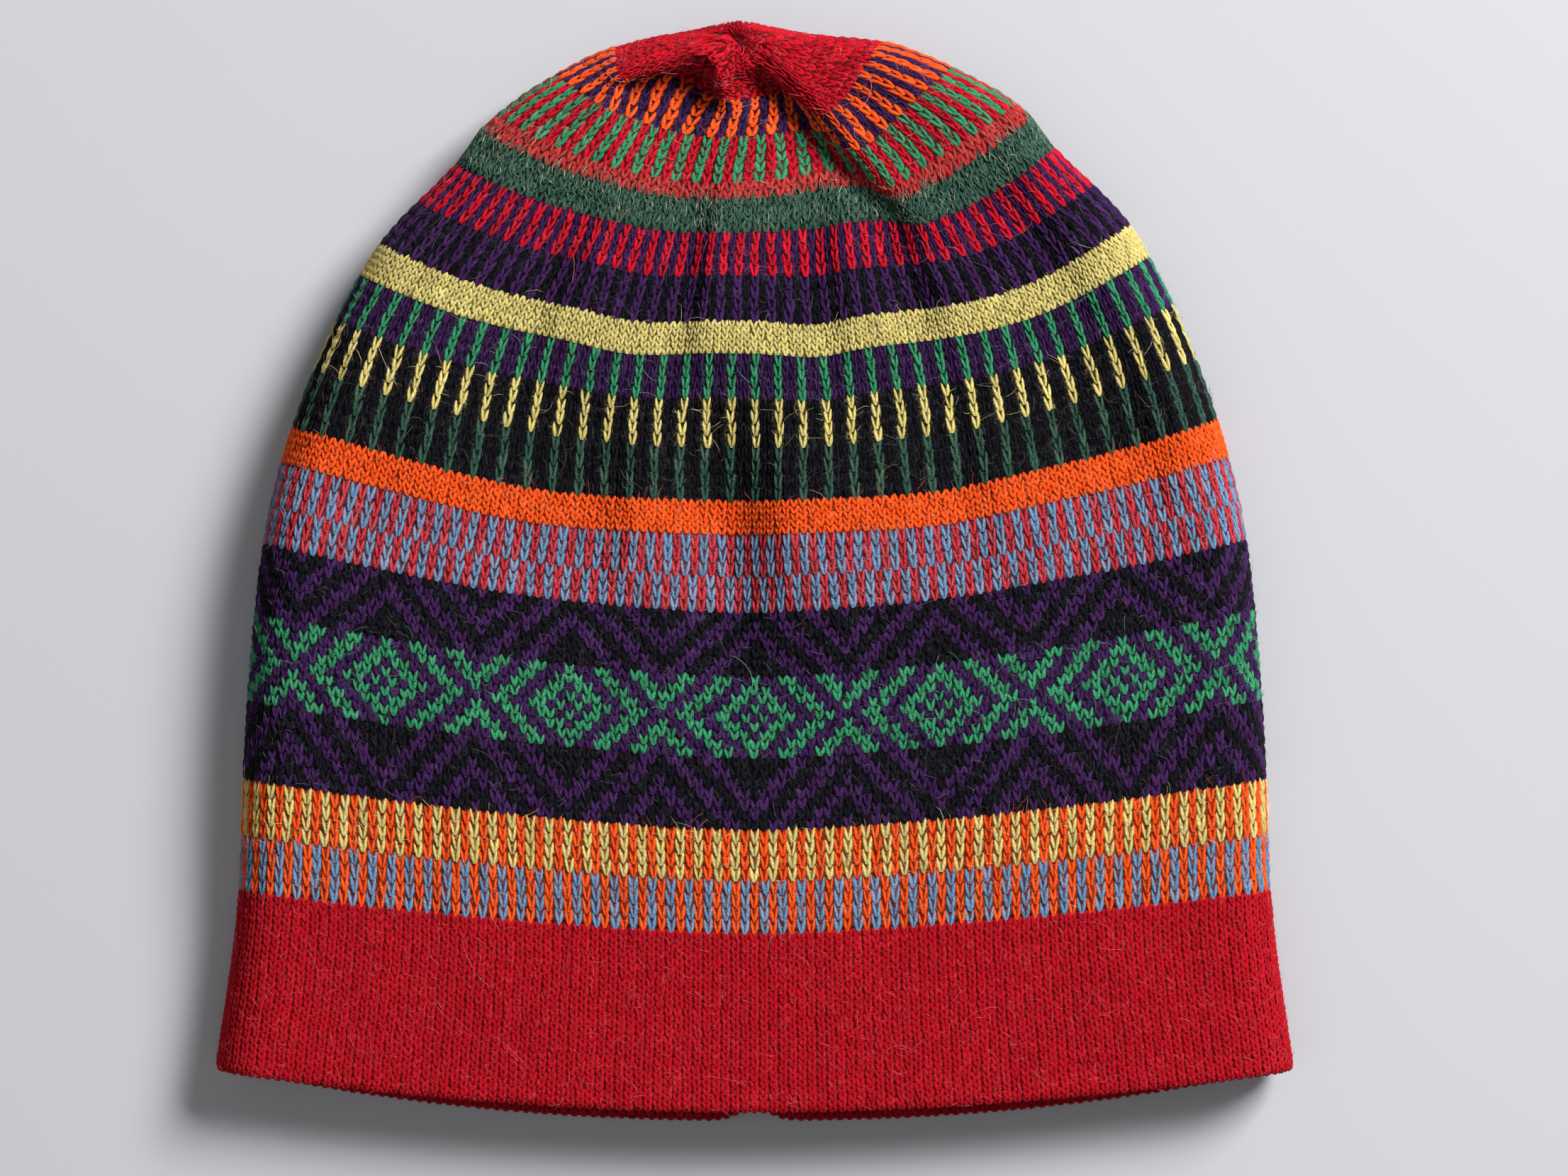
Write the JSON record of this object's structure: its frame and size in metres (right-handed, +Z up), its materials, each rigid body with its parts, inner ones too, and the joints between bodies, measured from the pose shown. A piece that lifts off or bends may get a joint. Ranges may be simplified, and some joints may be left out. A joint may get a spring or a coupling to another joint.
{
  "type": "beanie",
  "caption": "Knitted beanie lying flat on its back: folded plain hem band, tube with stripes, zigzags and diamonds, narrowing crown gathered to a point.",
  "frame": {"origin": "middle of the hat's bounding box, on the surface it lies on", "axes": "+Z up out of the surface, +Y from the head opening to the crown's tip, +X to the right seen from above"},
  "size_m": [0.2244, 0.2301, 0.0216],
  "materials": {
    "hem_band_knit": "matt red alpaca knit",
    "body_knit": "matt many-coloured alpaca knit on purple and black",
    "crown_knit": "matt red alpaca knit with stripes"
  },
  "bodies": {
    "root": {"hem_band": "hem_band_knit", "body": "body_knit", "crown": "crown_knit"}
  },
  "joints": []
}
